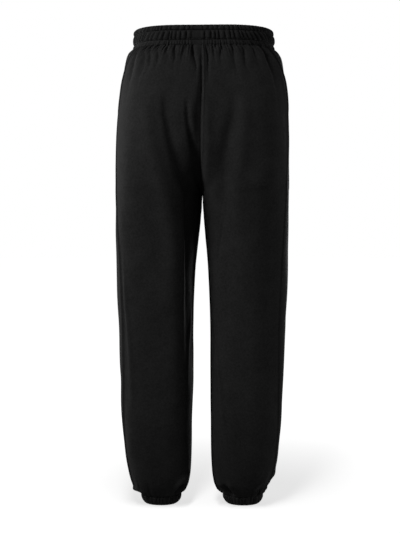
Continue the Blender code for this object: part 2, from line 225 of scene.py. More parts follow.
# Folds, ridges and hollows, each along a route of knots: the share of the way from the centre
# seam or inseam to the side seam, the height, how far the cloth rises (or sinks, below 0), and
# half the width of the rise
Knot = namedtuple("Knot", "across height rise width")
K = Knot
FOLDS = {
    "back_left": (
        # the thigh fills out beside the long fold towards the crotch
        (K(.50, -135, 0, 14), K(.46, -200, 4, 17), K(.44, -250, 6.5, 19), K(.44, -300, 7.5, 20),
         K(.45, -360, 8, 21), K(.45, -430, 8, 21), K(.44, -540, 6.5, 22), K(.41, -640, 5, 21),
         K(.39, -740, 2.5, 20), K(.39, -850, 0, 18)),
        # a short crease beside the seat seam, and the ridge outside it
        (K(.140, -128, 0, 5), K(.125, -146, -3, 5), K(.108, -180, -5, 6), K(.079, -210, -5, 7),
         K(.035, -245, -3, 8)),
        (K(.235, -140, 0, 9), K(.222, -180, 1, 10), K(.195, -215, 1.4, 11), K(.18, -262, 0, 12)),
        # the seat seam draws the cloth in
        (K(.0, -40, 0, 5), K(.0, -75, -3, 6), K(.0, -115, -5, 8), K(.0, -170, -9, 14),
         K(.0, -230, -12, 16), K(.0, -275, -12, 16), K(.0, -310, -8, 14), K(.0, -380, 0, 10)),
        (K(.480, -120, 0, 14), K(.475, -170, 1.2, 15), K(.48, -230, 1.2, 16), K(.50, -320, 0, 18)),
        # a soft ridge down the outer side, and one on the inner side of the calf
        (K(.925, -440, 0, 5), K(.921, -550, 2.4, 6), K(.887, -636, 3, 7), K(.854, -722, 2.4, 8),
         K(.83, -800, 0, 9)),
        (K(.08, -560, 0, 5), K(.12, -610, 1.5, 5), K(.18, -660, 2.0, 5), K(.22, -715, 1.5, 6),
         K(.24, -760, 0, 7)),
        # where the leg bags over the cuff
        (K(.999, -968.5, 4.0, 6), K(.92, -965, 6.5, 5.5), K(.85, -965.5, 7.5, 4.5),
         K(.795, -970, 6.5, 4), K(.765, -977.5, 3, 3.5)),
        (K(.96, -976, -8, 4.5), K(.89, -974, -11, 5), K(.835, -976, -9.5, 5)),
        (K(.12, -918, 0, 8), K(.20, -931, 5.5, 6), K(.28, -941, 9, 5), K(.335, -955, 9, 4.5),
         K(.335, -975, 3.2, 4)),
        (K(.13, -953, -5.5, 7), K(.22, -955, -14, 6.5), K(.275, -963, -14, 6), K(.275, -976, -9, 5)),
    ),
    "back_right": (
        # the seat seam, and a long hollow from beside it down the thigh
        (K(.0, -40, 0, 3), K(.0, -75, -3, 3), K(.0, -115, -6, 3.2), K(.0, -170, -9, 3.6),
         K(.0, -230, -11, 3.6), K(.0, -275, -11, 4.4), K(.0, -310, -8, 5), K(.0, -380, 0, 6)),
        (K(.315, -112, 0, 11), K(.295, -150, -3.5, 12), K(.255, -206, -5.5, 14), K(.25, -240, -6.5, 16),
         K(.30, -288, -8.5, 20), K(.35, -338, -11, 23), K(.39, -402, -11, 26), K(.44, -466, -8, 28),
         K(.45, -560, -4.5, 29), K(.45, -700, -2.5, 27), K(.45, -840, 0, 24)),
        # ridges on either side of the hollow
        (K(.390, -118, 0, 11), K(.388, -150, 3.5, 13), K(.385, -200, 4, 14), K(.41, -250, 3, 15),
         K(.45, -320, 0, 18)),
        (K(.035, -85, 0, 9), K(.045, -130, 2.5, 10), K(.055, -180, 4, 11), K(.075, -236, 5, 12),
         K(.12, -290, 5, 12), K(.165, -338, 4.5, 12), K(.165, -402, 3.5, 12), K(.20, -466, 2.5, 12),
         K(.20, -540, 0, 12)),
        (K(.375, -380, 0, 3), K(.366, -406, -1.2, 3), K(.360, -455, -1.2, 3), K(.358, -515, 0, 3)),
        # the outer side of the leg, full beside a shallow trough, and the edge of the pocket
        (K(.66, -220, 0, 22), K(.68, -300, 3, 24), K(.70, -380, 4, 26), K(.71, -490, 4.5, 27),
         K(.71, -620, 4.5, 28), K(.70, -760, 4.5, 28), K(.69, -880, 3, 24), K(.68, -945, 0, 16)),
        (K(.84, -340, 0, 12), K(.87, -440, -1.5, 12), K(.88, -548, -1.8, 12), K(.885, -676, -1.5, 12),
         K(.88, -780, 0, 12)),
        (K(.895, -30, 0, 5), K(.908, -40, 3, 6), K(.912, -64, 4, 7), K(.897, -90, 4, 7.5),
         K(.915, -118, 2.5, 8), K(.94, -165, 0, 9)),
        # a ridge down the inner side of the calf
        (K(.22, -510, 0, 4), K(.250, -574, 3, 4), K(.283, -648, 3.6, 4.2), K(.338, -720, 3.6, 4.4),
         K(.368, -790, 2.6, 5), K(.385, -860, 0, 6)),
        # where the leg bags over the cuff
        (K(.08, -938, 0, 6), K(.14, -946, 2, 5), K(.22, -950, 6, 4.5), K(.29, -957, 5.5, 4),
         K(.315, -966, 0, 4)),
        (K(.10, -942, 0, 9), K(.12, -957, -4.5, 9), K(.13, -966, -4, 8), K(.13, -977, 0, 7)),
        (K(.285, -950, 0, 4), K(.33, -959, -11, 5), K(.36, -966, -13, 5), K(.375, -976, -9, 4.5)),
        (K(.37, -938, 0, 4), K(.41, -954, 6, 4.5), K(.425, -966, 6.5, 4), K(.43, -977, 3, 3.5)),
        (K(.90, -912, 0, 8), K(.84, -934, 4.5, 6), K(.80, -949, 7, 5), K(.755, -959, 7, 4.5),
         K(.72, -975, 3.4, 4)),
        (K(.98, -915, 0, 14), K(.97, -940, -2.4, 12), K(.97, -962, -5, 9), K(.97, -977, -4, 8)),
        (K(.94, -960, -3, 7), K(.89, -963, -6, 7), K(.83, -965, -13, 6), K(.785, -976, -9, 5)),
    ),
    "front_left": (
        # the lap breaks in two folds from the crotch out to the hip, and one round the thigh
        (K(.08, -186, 0, 10), K(.26, -228, -5, 11), K(.45, -276, -5.5, 13), K(.64, -332, 0, 15)),
        (K(.10, -224, 0, 9), K(.26, -268, 3.5, 11), K(.42, -312, 3.5, 13), K(.58, -352, 0, 14)),
        (K(.04, -318, 0, 9), K(.14, -345, -5, 10), K(.27, -378, -4.5, 12), K(.40, -425, 0, 14)),
        (K(.03, -352, 0, 8), K(.13, -372, 2.5, 9), K(.25, -408, 2.5, 11), K(.34, -450, 0, 12)),
        (K(.40, -380, 0, 16), K(.40, -480, 3.5, 18), K(.37, -600, 4, 19), K(.36, -740, 0, 20)),
        (K(.62, -500, 0, 12), K(.60, -590, -2.6, 14), K(.56, -690, -2.6, 14), K(.53, -790, 0, 14)),
        (K(.20, -640, 0, 10), K(.24, -700, -2.8, 11), K(.30, -760, -2.6, 12), K(.34, -840, 0, 12)),
        # where the leg bags over the cuff
        (K(.14, -922, 0, 8), K(.20, -941, 3.5, 7), K(.29, -952, 4.2, 6), K(.34, -975, 2.3, 5)),
        (K(.16, -958, -5, 8), K(.25, -966, -6, 7), K(.29, -976, -5, 6)),
        (K(.999, -970, 4.2, 6), K(.90, -966, 4.2, 6), K(.82, -962, 5.5, 6), K(.76, -966, 4.5, 5),
         K(.73, -977, 2.3, 4)),
        (K(.84, -976, -6, 5), K(.79, -976, -6, 5)),
        (K(.80, -600, 0, 24), K(.80, -690, 4, 26), K(.80, -765, 0, 24)),
    ),
    "front_right": (
        # the same folds of the lap, a little apart from the left ones
        (K(.07, -180, 0, 10), K(.23, -218, -5, 11), K(.42, -268, -5.5, 13), K(.62, -340, 0, 15)),
        (K(.08, -232, 0, 9), K(.22, -262, 3.2, 11), K(.38, -306, 3.8, 13), K(.54, -362, 0, 14)),
        (K(.04, -324, 0, 9), K(.16, -352, -5, 10), K(.29, -382, -4.5, 12), K(.42, -438, 0, 14)),
        (K(.03, -360, 0, 8), K(.12, -380, 2.5, 9), K(.24, -416, 2.5, 11), K(.33, -462, 0, 12)),
        (K(.42, -400, 0, 16), K(.42, -500, 3.5, 18), K(.44, -600, 4, 19), K(.45, -720, 0, 20)),
        (K(.66, -540, 0, 12), K(.62, -630, -2.6, 14), K(.60, -720, -2.6, 14), K(.58, -820, 0, 14)),
        (K(.18, -600, 0, 10), K(.22, -660, -2.8, 11), K(.28, -740, -2.6, 12), K(.30, -820, 0, 12)),
        # where the leg bags over the cuff
        (K(.12, -928, 0, 8), K(.20, -944, 3.5, 7), K(.31, -955, 4.2, 6), K(.35, -975, 2.3, 5)),
        (K(.16, -960, -5, 8), K(.26, -968, -6, 7), K(.30, -976, -5, 6)),
        (K(.90, -924, 0, 8), K(.83, -942, 3.5, 7), K(.74, -955, 4.2, 6), K(.70, -975, 2.3, 5)),
        (K(.96, -905, 0, 14), K(.96, -930, -2, 14), K(.96, -966, -5.5, 10), K(.96, -977, -5, 9)),
        (K(.88, -958, -4, 8), K(.79, -966, -5, 7), K(.75, -976, -4, 6)),
    ),
}

# Long folds at which the cloth drops and stays low as far as the inner seam: the share across, the
# height, how far it drops and how gently
Drop = namedtuple("Drop", "across height fall softness")
DROPS = {
    "back_left": (
        Drop(.372, -112, 0, 8), Drop(.352, -140, 5, 5), Drop(.325, -175, 9, 5.5),
        Drop(.298, -215, 12, 6), Drop(.278, -260, 13.5, 7), Drop(.288, -318, 14, 7.5),
        Drop(.308, -364, 14, 7.5), Drop(.322, -412, 13, 8), Drop(.322, -466, 12, 8),
        Drop(.300, -550, 10, 9), Drop(.275, -636, 7, 11), Drop(.26, -740, 0, 14),
    ),
}
DROP_RETURN = 0.6              # how soon the cloth comes back from the inner seam: 1 is evenly
ROUTE_STEP = 3.0               # between the points at which a route is read
FOLD_REACH = 3                 # widths from its route at which a fold has faded out

# The cloth is never quite even between its folds. The swells fade out towards seams and bands
Swell = namedtuple("Swell", "length height")
SWELLS = (Swell(150, 1.1), Swell(85, 0.5), Swell(48, 0.2))
SWELL_WAVES = 7
SWELL_SPREAD = (0.75, 1.3)     # of their lengths
SWELL_SQUASH = 0.6             # they are longer down the cloth than across it
SWELL_SEED = 40
CALM_SEAM = 25
CALM_WAIST = 60
CALM_CUFF = 40


def smooth_column(at, places, values):
    """Read a table's column between its rows, on a curve that never overshoots them."""
    places = np.asarray(places, float)
    values = np.asarray(values, float)
    rates = np.diff(values) / np.diff(places)
    slopes = np.zeros_like(values)
    same_way = rates[:-1] * rates[1:] > 0
    inner = 2 * rates[:-1] * rates[1:] / np.where(same_way, rates[:-1] + rates[1:], 1)
    slopes[1:-1] = np.where(same_way, inner, 0)
    slopes[0] = rates[0]
    slopes[-1] = rates[-1]
    i = np.clip(np.searchsorted(places, at, side="right") - 1, 0, len(places) - 2)
    span = places[i + 1] - places[i]
    t = (at - places[i]) / span
    return (
        (1 + 2 * t) * (1 - t) ** 2 * values[i]
        + t * (1 - t) ** 2 * span * slopes[i]
        + t * t * (3 - 2 * t) * values[i + 1]
        + t * t * (t - 1) * span * slopes[i + 1]
    )


def read_table(table, at):
    """A value between the entries of a table that runs upwards."""
    return np.interp(at, list(table), list(table.values()))


def bell(distance, width):
    """1 at no distance, fading softly to nothing past the width."""
    return np.exp(-((distance / width) ** 2))


def section_at(height):
    """The level section at any height."""
    heights, *columns = np.transpose(SECTIONS[::-1])
    return Section(height, *(smooth_column(height, heights, column) for column in columns))


class Outline:
    """A level outline that can be walked by length, counter-clockwise from the inner front."""

    def __init__(self, points):
        self.points = points
        self.arcs = np.append(0, np.cumsum(np.linalg.norm(np.diff(points, axis=0), axis=1)))
        along = np.gradient(points, axis=0)
        along /= np.linalg.norm(along, axis=1)[:, None]
        self.normals = np.column_stack((along[:, 1], -along[:, 0]))
        self.length = self.arcs[-1]

    def walk(self, arcs):
        """Points and outward directions at the given lengths along the outline."""
        points = np.column_stack([np.interp(arcs, self.arcs, axis) for axis in self.points.T])
        normals = np.column_stack([np.interp(arcs, self.arcs, axis) for axis in self.normals.T])
        return points, normals / np.linalg.norm(normals, axis=1)[:, None]


def half_outline(section):
    """Outline of the left half in millimetres, and the length along it of the side seam."""
    edge = SEAM_GAP / 2
    exponent = read_table(SQUARENESS, section.height)
    turn = math.pi
    if section.inner > section.centre - edge:
        share = ((section.centre - edge) / section.inner) ** (exponent / 2)
        turn -= math.acos(share)
    angles = np.linspace(-turn, turn, OUTLINE_STEPS + 1)
    power = 2 / exponent
    reach = np.where(np.cos(angles) > 0, section.outer - section.centre, section.inner)
    half_depth = (section.front + section.back) / 2
    middle = (section.back - section.front) / 2
    x = section.centre + reach * np.sign(np.cos(angles)) * np.abs(np.cos(angles)) ** power
    y = middle + half_depth * np.sign(np.sin(angles)) * np.abs(np.sin(angles)) ** power
    outline = Outline(np.column_stack((x, y)))
    seam_arc = float(np.interp(math.radians(section.seam), angles, outline.arcs))
    return outline, seam_arc


def full_outline(section):
    """Closed outline of a band: the half and its mirror, or a whole leg."""
    half, _ = half_outline(section)
    points = half.points
    if section.inner > section.centre:
        points = np.vstack((points, points[::-1] * (-1, 1)))
    return Outline(np.vstack((points, points[:1])))


def panel_width(front, outline, seam_arc):
    """Length of a panel along the outline, from its inner edge to its side seam."""
    return seam_arc if front else outline.length - seam_arc


def from_side_seam(front, height, width, places):
    """How far each column lies from the side seam."""
    steady = width
    if FORK_END < height < FORK_TOP:
        share = (FORK_TOP - height) / (FORK_TOP - FORK_END)
        above, below = (
            panel_width(front, *half_outline(section_at(end))) for end in (FORK_TOP, FORK_END)
        )
        steady = above + (below - above) * share
    inward = 1 - places
    return inward * steady + (width - steady) * inward**FORK_POWER


def mouth_opening(heights):
    """0 outside the pocket mouth, rising to 1 at its middle."""
    share = np.clip((heights - POCKET_BOTTOM) / (POCKET_TOP - POCKET_BOTTOM), 0, 1)
    return np.sin(math.pi * share) ** POCKET_ROUNDNESS


def row_heights():
    """Heights of a panel's rows, from the waist seam down to the cuff seam."""
    heights = [WAIST_SEAM]
    while heights[-1] > CUFF_SEAM:
        heights.append(heights[-1] - read_table(ROW_STEPS, heights[-1]))
    heights = np.array(heights)
    return WAIST_SEAM + (heights - WAIST_SEAM) * (CUFF_SEAM - WAIST_SEAM) / (heights[-1] - WAIST_SEAM)


def ruffles(shares, waves, seed):
    """Height of a gathered edge, -1 in a crease to 1 on a puff, at shares of the way round."""
    rng = np.random.default_rng(seed)
    creases = (np.arange(waves) + rng.uniform(-RUFFLE_SHIFT, RUFFLE_SHIFT, waves)) / waves
    depths = rng.uniform(*RUFFLE_DEPTHS, waves)
    tops = rng.uniform(*RUFFLE_HEIGHTS, waves)
    shares = (np.asarray(shares) - creases[0]) % 1.0
    creases = np.append(creases - creases[0], 1.0)
    depths = np.append(depths, depths[0])
    puff = np.clip(np.searchsorted(creases, shares, side="right") - 1, 0, waves - 1)
    within = (shares - creases[puff]) / (creases[puff + 1] - creases[puff])
    floor = -(depths[puff] * (1 - within) + depths[puff + 1] * within)
    return floor + (tops[puff] - floor) * np.sin(math.pi * within) ** RUFFLE_ROUNDNESS


def slanted_ruffles(shares, height, waves, fineness, seed):
    """Ruffles that run outwards from the centre back as they go down, finer at a stitched edge."""
    aside = np.sin(2 * math.pi * shares)
    shares = shares + RUFFLE_SLANT * height * aside * np.abs(aside)
    fine = ruffles(shares, int(waves * FINE_RUFFLES), seed + 1)
    return (1 - fineness) * ruffles(shares, waves, seed) + fineness * fine


def flatness(shares):
    """0 in the flat patch at the centre back, rising to 1 beside it."""
    return 1 - np.exp(-(((shares - FLAT_PATCH.centre) / FLAT_PATCH.reach) ** 4))


def unevenness(across, heights, seed):
    """Slow swells over a panel."""
    rng = np.random.default_rng(seed)
    relief = np.zeros_like(across)
    for swell in SWELLS:
        for _ in range(SWELL_WAVES):
            turn = rng.uniform(0, math.pi)
            length = swell.length * rng.uniform(*SWELL_SPREAD)
            phase = rng.uniform(0, 2 * math.pi)
            along = across * math.cos(turn) + SWELL_SQUASH * heights * math.sin(turn)
            wave = np.sin(along * 2 * math.pi / length + phase)
            relief += swell.height / math.sqrt(SWELL_WAVES) * wave
    return relief


def read_route(knots, across, places, heights):
    """Closely spaced points of a fold's route: millimetres across, height, rise and width."""
    table = np.array(knots, float)
    for knot in table:
        row = int(np.argmin(np.abs(heights - knot[1])))
        knot[0] = np.interp(knot[0], places, across[row])
    lengths = np.linalg.norm(np.diff(table[:, :2], axis=0), axis=1)
    marks = np.append(0, np.cumsum(lengths))
    steps = np.linspace(0, marks[-1], max(int(marks[-1] / ROUTE_STEP), 4))
    return [smooth_column(steps, marks, column) for column in table.T]


def fold_relief(knots, across, places, heights):
    """Rise of the cloth along one fold's route."""
    route_across, route_height, rise, width = read_route(knots, across, places, heights)
    reach = FOLD_REACH * width.max()
    near_rows = (heights < route_height.max() + reach) & (heights > route_height.min() - reach)
    near = across[near_rows]
    level = np.broadcast_to(heights[near_rows, None], near.shape)
    nearest = np.full(near.shape, np.inf)
    index = np.zeros(near.shape, int)
    for i, (x, z) in enumerate(zip(route_across, route_height)):
        distance = (near - x) ** 2 + (level - z) ** 2
        closer = distance < nearest
        nearest[closer] = distance[closer]
        index[closer] = i
    relief = np.zeros_like(across)
    relief[near_rows] = rise[index] * np.exp(-nearest / width[index] ** 2)
    return relief


def drop_relief(knots, across, places, heights):
    """Fall of the cloth from one long fold to the inner seam, where it comes back to its form."""
    table = np.array(knots, float)[::-1]
    inside = (heights > table[0, 1]) & (heights < table[-1, 1])
    relief = np.zeros_like(across)
    for row in np.flatnonzero(inside):
        share, fall, softness = (
            float(smooth_column(heights[row], table[:, 1], table[:, i])) for i in (0, 2, 3)
        )
        edge = np.interp(share, places, across[row])
        low = 0.5 * (1 + np.tanh((edge - across[row]) / softness))
        back = np.clip((across[row] - across[row, 0]) / (edge - across[row, 0]), 0, 1)
        relief[row] = -fall * low * back**DROP_RETURN
    return relief


def gather_relief(creases, across, places, heights):
    """Rise of the puffs that hang from the waist seam, and of the creases between them."""
    relief = np.zeros_like(across)
    for row, height in enumerate(heights):
        below = WAIST_SEAM - height
        if below > FOLD_REACH * max(crease.length for crease in creases):
            break
        lines = [(0.0, 0.0, creases[0].length)]
        for crease in creases:
            route = (crease.top, crease.middle, crease.end)
            share = np.interp(below, (0, crease.length / 2, crease.length), route)
            lines.append((share, crease.depth * bell(below, crease.length), crease.length))
        lines.append((1.0, 0.0, creases[-1].length))
        shares, depths, lengths = np.array(lines).T
        puff = np.clip(np.searchsorted(shares, places, side="right") - 1, 0, len(lines) - 2)
        within = (places - shares[puff]) / (shares[puff + 1] - shares[puff])
        width = np.diff(shares)[puff] * (across[row, -1] - across[row, 0])
        length = (lengths[puff] + lengths[puff + 1]) / 2
        fall = np.exp(-((below / length) ** 2) / PUFF_FALL)
        crest = np.minimum(PUFF_RISE * width, PUFF_LIMIT) * fall
        floor = -(depths[puff] * (1 - within) + depths[puff + 1] * within)
        arch = np.sin(math.pi * np.clip(within, 0, 1)) ** PUFF_ROUNDNESS
        hold = 1 - (1 - SEAM_HOLD) * math.exp(-below / SEAM_HOLD_FADE)
        relief[row] = hold * (floor + (crest - floor) * arch)
    return relief


def panel_form(panel, heights, places):
    """Plain form of a panel: level points, outward directions and millimetres from its inner edge."""
    front = panel.startswith("front")
    mouths = mouth_opening(heights)
    points, normals, across = [], [], []
    for height, mouth in zip(heights, mouths):
        section = section_at(height)
        outline, seam_arc = half_outline(section)
        width = panel_width(front, outline, seam_arc)
        at_inseam = SEAM_GAP / 2 if section.inner < section.centre else 0.0
        at_side = SEAM_GAP / 2 + (POCKET_GAPE * mouth if front else 0.0)
        arcs = width - from_side_seam(front, height, width, places)
        arcs = at_inseam + arcs * (1 - (at_inseam + at_side) / width)
        level, outward = outline.walk(arcs if front else outline.length - arcs)
        points.append(level)
        normals.append(outward)
        across.append(arcs)
    return np.array(points), np.array(normals), np.array(across)


def share_of_waist(panel, across, half_length):
    """Share of the way round the waist: 0 at the centre back, rising to the wearer's right."""
    side = 1 if panel.endswith("left") else -1
    share = 0.5 * across / half_length
    return side * (share - 0.5 if panel.startswith("front") else -share)


def share_of_ankle(panel, across, length):
    """Share of the way round an ankle: 0 at its outer side, falling to the front."""
    share = across / length
    return share - 0.5 if panel.startswith("front") else 0.5 - share


def keep_within(relief, limits, distance):
    """Hold the relief within limits where the cloth comes to a band."""
    return relief + (np.clip(relief, *limits) - relief) * bell(distance, BAND_GRIP)


def closed_at_centre(normals, from_inner, heights):
    """Outward directions, turned straight back or forward at a centre seam to keep it closed."""
    grip = bell(from_inner, CENTRE_GRIP) * (heights > CROTCH)[:, None]
    pushed = normals * np.stack((1 - grip, np.ones_like(grip)), axis=-1)
    return pushed / np.maximum(np.linalg.norm(pushed, axis=-1), 1e-6)[..., None]


def panel_relief(panel, across, places, heights):
    """How far the cloth stands out from the plain form, in millimetres."""
    front = panel.startswith("front")
    below_waist = (WAIST_SEAM - heights)[:, None]
    above_cuff = (heights - CUFF_SEAM)[:, None]
    from_side = across[:, -1:] - across
    from_inner = across - across[:, :1]
    relief = gather_relief(GATHERS[panel], across, places, heights)
    for knots in FOLDS[panel]:
        # folds run straight past the crotch, where only the inner edges of the panels widen
        measure = across if knots[0].across == 0 else -from_side
        relief += fold_relief(knots, measure, places, heights)
    if panel in DROPS:
        relief += drop_relief(DROPS[panel], across, places, heights)

    # an inseam holds both panels where their plain forms meet
    relief *= np.where((heights < CROTCH)[:, None], 1 - bell(from_inner, SEAM_GRIP), 1)
    relief = keep_within(relief, AT_WAIST, below_waist)

    seed = sorted(FOLDS).index(panel)
    calm = np.clip(from_inner / CALM_SEAM, 0, 1) * np.clip(from_side / CALM_SEAM, 0, 1)
    calm = calm * np.clip(below_waist / CALM_WAIST, 0, 1) * np.clip(above_cuff / CALM_CUFF, 0, 1)
    relief += unevenness(across, heights[:, None], SWELL_SEED + seed) * calm

    waist_outline, _ = half_outline(section_at(WAIST_SEAM))
    waist_share = share_of_waist(panel, across[0], waist_outline.length)
    pucker = slanted_ruffles(waist_share, WAIST_SEAM, WAIST_RUFFLES, FINENESS, WAIST_SEED)
    pucker = pucker * flatness(waist_share)
    fade = (1 + below_waist / WAIST_PUCKER_FADE) * np.exp(-below_waist / WAIST_PUCKER_FADE)
    relief += WAIST_PUCKER * pucker[None, :] * fade

    ankle_outline, _ = half_outline(section_at(CUFF_SEAM))
    ankle_share = share_of_ankle(panel, across[-1], ankle_outline.length)
    fine = ruffles(ankle_share, ANKLE_RUFFLES, ANKLE_SEED)
    broad = ruffles(ankle_share, ANKLE_FOLDS, ANKLE_FOLD_SEED)
    relief += ANKLE_PUCKER * fine[None, :] * np.exp(-above_cuff / ANKLE_PUCKER_FADE)
    relief += ANKLE_FOLD * broad[None, :] * bell(above_cuff, ANKLE_FOLD_FADE)

    # the edges roll into the seams, less where the gathers hold them
    settled = 1 - GATHER_GRIP * np.exp(-below_waist / GATHER_GRIP_FADE)
    for distance in (from_inner, from_side):
        relief -= SEAM_ROLL * settled * bell(distance, SEAM_ROLL_WIDTH)
    relief -= SEAM_ROLL * bell(above_cuff, SEAM_ROLL_WIDTH)
    relief = keep_within(relief, AT_CUFF, above_cuff)
    if not front:
        relief += SEAM_RIDGE * bell(from_side - SEAM_RIDGE_PLACE, SEAM_RIDGE_WIDTH)
        relief += POCKET_LIP * mouth_opening(heights)[:, None] * bell(from_side, POCKET_LIP_WIDTH)
    if panel.endswith("right"):
        relief += SEAM_RIDGE * settled * bell(from_inner - SEAM_RIDGE_PLACE, SEAM_RIDGE_WIDTH)
    return relief


def stand(points):
    """Millimetre points of the garment as it stands: leaning a little, with the waist high behind."""
    x, y, z = (points[..., axis] for axis in range(3))
    fade = np.exp(-np.maximum(WAIST_SEAM - z, 0) / BACK_RISE_FADE)
    rise = BACK_RISE * np.clip(y / BACK_RISE_DEPTH, 0, 1) * fade
    below = np.clip((STRIDE_FROM - z) / (STRIDE_FROM - CUFF_SEAM), 0, 1)
    stride = STRIDE * np.sign(x) * below * below * (3 - 2 * below)
    return np.stack((x + read_table(LEAN, z), y + stride, z + rise), axis=-1)


def in_space(level_points, heights, side):
    """Level points of the left half, in metres at their heights, on either side of the middle."""
    x = np.maximum(level_points[..., 0], SEAM_GAP / 2) * side
    z = np.broadcast_to(np.asarray(heights)[:, None], x.shape)
    return stand(np.stack((x, level_points[..., 1], z), axis=-1)) * MM


def new_object(name, data):
    """A new object in the scene."""
    made = bpy.data.objects.new(name, data)
    bpy.context.scene.collection.objects.link(made)
    return made


def cloth_wall(name, outer, inner, flat, material):
    """One closed wall of cloth between two grids of points, with its flat layout as UV map.

    Rows run down and columns run round, so that the outer face looks outwards.
    """
    rows, columns = outer.shape[:2]
    row, column = (part.ravel() for part in np.mgrid[0 : rows - 1, 0 : columns - 1])
    around = ((0, 0), (1, 0), (1, 1), (0, 1))
    corners = np.stack([np.stack((row + r, column + c), -1) for r, c in around], axis=1)
    layers = [np.zeros(corners.shape[:2], int), np.ones(corners.shape[:2], int)]
    faces = [corners, corners[:, ::-1]]
    top = [(0, c) for c in range(columns)]
    bottom = [(rows - 1, c) for c in range(columns - 1, -1, -1)]
    end = [(r, columns - 1) for r in range(rows)]
    start = [(r, 0) for r in range(rows - 1, -1, -1)]
    for rim in (top, bottom, end, start):
        here, there = np.array(rim[:-1]), np.array(rim[1:])
        faces.append(np.stack((here, there, there, here), axis=1))
        layers.append(np.tile((0, 0, 1, 1), (len(here), 1)))
    faces = np.concatenate(faces)
    layers = np.concatenate(layers)
    numbers = layers * rows * columns + faces[..., 0] * columns + faces[..., 1]
    mesh = bpy.data.meshes.new(name)
    points = np.concatenate((outer.reshape(-1, 3), inner.reshape(-1, 3)))
    mesh.from_pydata(points.tolist(), [], numbers.tolist())
    layout = mesh.uv_layers.new(name="flat_cloth")
    layout.data.foreach_set("uv", flat[faces[..., 0], faces[..., 1]].ravel())
    mesh.materials.append(material)
    mesh.shade_smooth()
    mesh.set_sharp_from_angle(angle=math.radians(SHARP_EDGE))
    return new_object(name, mesh)


def linear(colour):
    """Linear values of an sRGB hex colour."""
    parts = [int(colour[i : i + 2], 16) / 255 for i in (1, 3, 5)]
    return [c / 12.92 if c <= 0.04045 else ((c + 0.055) / 1.055) ** 2.4 for c in parts] + [1.0]


def new_material(name, roughness, specular):
    """A material with its node tree and its shader."""
    material = bpy.data.materials.new(name)
    material.use_nodes = True
    shader = material.node_tree.nodes["Principled BSDF"]
    shader.inputs["Roughness"].default_value = roughness
    shader.inputs["Specular IOR Level"].default_value = specular
    return material, material.node_tree, shader


def add(tree, kind, values=None, links=None, **settings):
    """Add a node: its settings, the values of its sockets, and what is linked to them.

    A link is given as an output, or as a node whose first output it comes from.
    """
    node = tree.nodes.new(kind)
    for name, value in settings.items():
        setattr(node, name, value)
    for socket, value in (values or {}).items():
        node.inputs[socket].default_value = value
    for socket, source in (links or {}).items():
        tree.links.new(getattr(source, "outputs", (source,))[0], node.inputs[socket])
    return node


def bands(tree, apart, place, direction, distortion=0.0):
    """Even bands over a surface, so many metres apart."""
    wave = add(
        tree, "ShaderNodeTexWave", {"Scale": 2 * math.pi / 20 / apart, "Distortion": distortion},
        {"Vector": place}, wave_type="BANDS", bands_direction=direction,
    )
    return wave.outputs["Fac"]


def dye(tree, shader, dark, light, share):
    """Give the shader a colour between two, by a share that varies over the surface."""
    mix = add(
        tree, "ShaderNodeMix", {"A": linear(dark), "B": linear(light)}, {"Factor": share},
        data_type="RGBA",
    )
    tree.links.new(mix.outputs["Result"], shader.inputs["Base Color"])


def brushed_fleece(name, dark, light, sheen):
    """Cotton fleece, dyed black: a matt knit face with a raised nap.

    The nap scatters light at a glancing angle, the dye takes unevenly in soft clouds, and the
    surface is a little lumpy where the brushed back shows through.
    """
    material, tree, shader = new_material(name, 0.9, 0.05)
    place = add(tree, "ShaderNodeTexCoord").outputs["Object"]
    layout = add(tree, "ShaderNodeUVMap", uv_map="flat_cloth").outputs["UV"]
    clouds = add(
        tree, "ShaderNodeTexNoise", {"Scale": 1 / 0.030, "Detail": 3.0, "Roughness": 0.6},
        {"Vector": place},
    )
    # pilling and lint, drawn at 4 mm because the real 1 mm grain is too fine to show
    grain = add(
        tree, "ShaderNodeTexNoise", {"Scale": 1 / 0.0040, "Detail": 2.0, "Roughness": 0.7},
        {"Vector": place},
    )
    mottle = add(
        tree, "ShaderNodeMath", {1: 2.2}, {0: grain, 2: clouds}, operation="MULTIPLY_ADD"
    )
    tone = add(tree, "ShaderNodeMapRange", {"From Min": 0.6, "From Max": 2.6}, {"Value": mottle})
    dye(tree, shader, dark, light, tone)
    lumps = add(
        tree, "ShaderNodeBump", {"Strength": 0.5, "Distance": 0.0005}, {"Height": mottle}
    )
    # wales of the knit face, 1.1 mm apart, run up the cloth
    wales = bands(tree, 0.0011, layout, "X", distortion=0.6)
    knit = add(
        tree, "ShaderNodeBump", {"Strength": 0.25, "Distance": 0.0002},
        {"Height": wales, "Normal": lumps},
    )
    tree.links.new(knit.outputs["Normal"], shader.inputs["Normal"])
    shader.inputs["Sheen Weight"].default_value = sheen
    shader.inputs["Sheen Roughness"].default_value = 0.45
    shader.inputs["Sheen Tint"].default_value = linear("#8a8a8a")
    return material


fleece = brushed_fleece("black_brushed_fleece", "#141414", "#2a2a2a", 0.06)

heights = row_heights()
steps = np.linspace(0, 1, PANEL_COLUMNS + 1)
places = steps - EDGE_CROWDING * np.sin(2 * math.pi * steps) / (2 * math.pi)

# Flat cut of each panel without seam allowances: width at the crotch fork, length, and area
Cut = namedtuple("Cut", "width length area")

